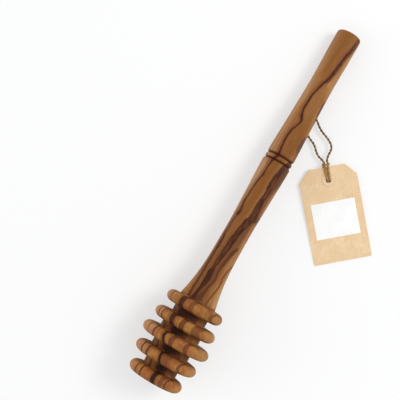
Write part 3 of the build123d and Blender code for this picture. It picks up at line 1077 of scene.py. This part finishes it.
# %% Card
card = Finish("kraft_card")
card_place = card.node("ShaderNodeTexCoord").outputs["Object"]
clouds_per_metre = 190
cloud = card.noise(card_place, clouds_per_metre, 4, 0.62)
fibre = card.noise(card_place, 2600, 3, 0.7)
card_colour = card.mix(card.remap(cloud, 0.42, 0.68), srgb(234, 202, 160), srgb(241, 213, 174))
card_colour = card.mix(card.remap(fibre, 0.56, 0.74, 0.0, 0.3), card_colour, srgb(214, 178, 132))
card.bump(fibre, 0.15, 0.00005)
print("the card's clouds are about", round(1 / clouds_per_metre / MM), "mm wide")

# %% [markdown]
# ## Creases
# The card has been handled, and fine creases wander over it, pale on the side that catches the light and
# darker beside it. Noise passes its middle value along such wandering lines, so the places near that value
# are the crease, and those near a value a little higher are the shade beside it.

# %% Creases of the card
crease = card.noise(card_place, 240, 3, 0.55, 1.2)
crease_line = card.math("ABSOLUTE", card.math("SUBTRACT", crease, 0.5))
card_colour = card.mix(card.remap(crease_line, 0.0, 0.022, 0.5, 0.0), card_colour, srgb(248, 222, 190))
crease_side = card.math("ABSOLUTE", card.math("SUBTRACT", crease, 0.535))
card_colour = card.mix(card.remap(crease_side, 0.0, 0.02, 0.4, 0.0), card_colour, srgb(218, 180, 136))
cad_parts["tag_card"].material_slots[0].material = card.surface(card_colour, 0.85, 0.2)
print("the card keeps its shape from the frame")

# %% [markdown]
# ## A paper ring
# A thin ring of the same paper is stuck round the hole, so that the twine doesn't tear the card. It shows by
# its edge, which is a little darker. The distance from the hole's middle, in millimetres, finds that edge.

# %% Ring round the hole
ring = Finish("ring_paper")
ring_place = ring.node("ShaderNodeMapping", {"vector_type": "TEXTURE"})
ring_place.inputs["Location"].default_value = card_hole
ring_place.inputs["Scale"].default_value = (MM, MM, MM)
ring.feed(ring_place.inputs["Vector"], ring.node("ShaderNodeTexCoord").outputs["Object"])
flat_axes = [ring_place.outputs[0], (1, 1, 0)]
flat_place = ring.node("ShaderNodeVectorMath", {"operation": "MULTIPLY"}, inputs=flat_axes)
reach = ring.node("ShaderNodeVectorMath", {"operation": "LENGTH"}, inputs=[flat_place.outputs[0]])
ring_fibre = ring.noise(ring_place.outputs[0], 2.4, 3, 0.7)
ring_colour = ring.mix(ring.remap(ring_fibre, 0.4, 0.7), srgb(240, 210, 173), srgb(231, 199, 160))
edge_share = ring.remap(reach.outputs["Value"], 2.45, 2.65, 0.0, 0.5)
ring_colour = ring.mix(edge_share, ring_colour, srgb(206, 168, 126))
ring.bump(ring_fibre, 0.1, 0.00005)
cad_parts["hole_ring"].material_slots[0].material = ring.surface(ring_colour, 0.8, 0.2)
print("the ring's edge is a little darker")

# %% [markdown]
# ## A bare label
# A plain white sticker lies on the card. Smooth paper is not quite even: a faint cloud and a fine tooth keep
# it from looking like plastic.

# %% Label
label = Finish("label_paper")
label_place = label.node("ShaderNodeTexCoord").outputs["Object"]
label_cloud = label.noise(label_place, 260, 3, 0.5)
label_tooth = label.noise(label_place, 5200, 2, 0.6)
label_colour = label.mix(label.remap(label_cloud, 0.35, 0.65), srgb(254, 254, 253), srgb(250, 250, 249))
label.bump(label_tooth, 0.08, 0.00003)
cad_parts["label"].material_slots[0].material = label.surface(label_colour, 0.7, 0.25)
print("the label is bare")

# %% [markdown]
# ## A white table
# The dipper lies on a white ground with soft shadows, so the floor is white and matt. Half of what the camera
# sees of it is an even glow. The Light Path node shows that glow only to the camera and to mirrored and
# refracted rays, so it keeps the ground white without more light on the wood.

# %% Floor
floor_half = 1.5
floor_shape = bmesh.new()
bmesh.ops.create_grid(floor_shape, x_segments=1, y_segments=1, size=floor_half)
floor_mesh = bpy.data.meshes.new("floor")
floor_shape.to_mesh(floor_mesh)
floor_shape.free()
floor = bpy.data.objects.new("floor", floor_mesh)
bpy.context.scene.collection.objects.link(floor)
print("the floor is", 2 * floor_half, "m square")

# %% White ground
ground = Finish("white_ground")
ground.surface(srgb(250, 250, 250), 0.9, 0.0)
glow_strength, glow_share = 1.0, 0.5
glow = ground.node("ShaderNodeEmission", inputs=[(1, 1, 1, 1), glow_strength])
rays = ground.node("ShaderNodeLightPath").outputs
seen = ground.math("MAXIMUM", rays["Is Glossy Ray"], rays["Is Transmission Ray"])
seen = ground.math("MAXIMUM", rays["Is Camera Ray"], seen)
glow_seen = ground.math("MULTIPLY", seen, glow_share)
blend = ground.node("ShaderNodeMixShader", inputs=[glow_seen, ground.shader.outputs[0], glow.outputs[0]])
ground.feed(ground.nodes["Material Output"].inputs["Surface"], blend.outputs[0])
floor_mesh.materials.append(ground.material)
print("the ground's glow is", glow_strength, "strong and has a share of", glow_share)

# %% [markdown]
# ## Two soft lamps and a pale sky
# A large soft lamp hangs high on the picture's right, and a lower and weaker one fills in from the left. A
# pale sky lights the rest. Together they give the level at which a colour looks about as it was written.

# %% Lamps


def soft_lamp(name, place, size, power, colour):
    """A square area lamp that looks at the table's middle."""
    data = bpy.data.lights.new(name, "AREA")
    data.size, data.energy, data.color = size, power, colour
    lamp = bpy.data.objects.new(name, data)
    lamp.location = place
    lamp.rotation_euler = (-Vector(place)).to_track_quat("-Z", "Y").to_euler()
    bpy.context.scene.collection.objects.link(lamp)


soft_lamp("key", place=(0.42, -0.43, 0.80), size=0.40, power=4.0, colour=(1.0, 0.985, 0.96))
soft_lamp("fill", place=(-0.40, 0.70, 0.25), size=0.60, power=1.6, colour=(1.0, 0.98, 0.95))
print("two lamps look at the table's middle")

# %% Sky
sky_strength = 0.687
sky = bpy.data.worlds.new("sky")
sky.use_nodes = True
sky.node_tree.nodes["Background"].inputs["Color"].default_value = (0.96, 0.98, 1.0, 1)
sky.node_tree.nodes["Background"].inputs["Strength"].default_value = sky_strength
bpy.context.scene.world = sky
print("the sky's strength is", sky_strength)

# %% [markdown]
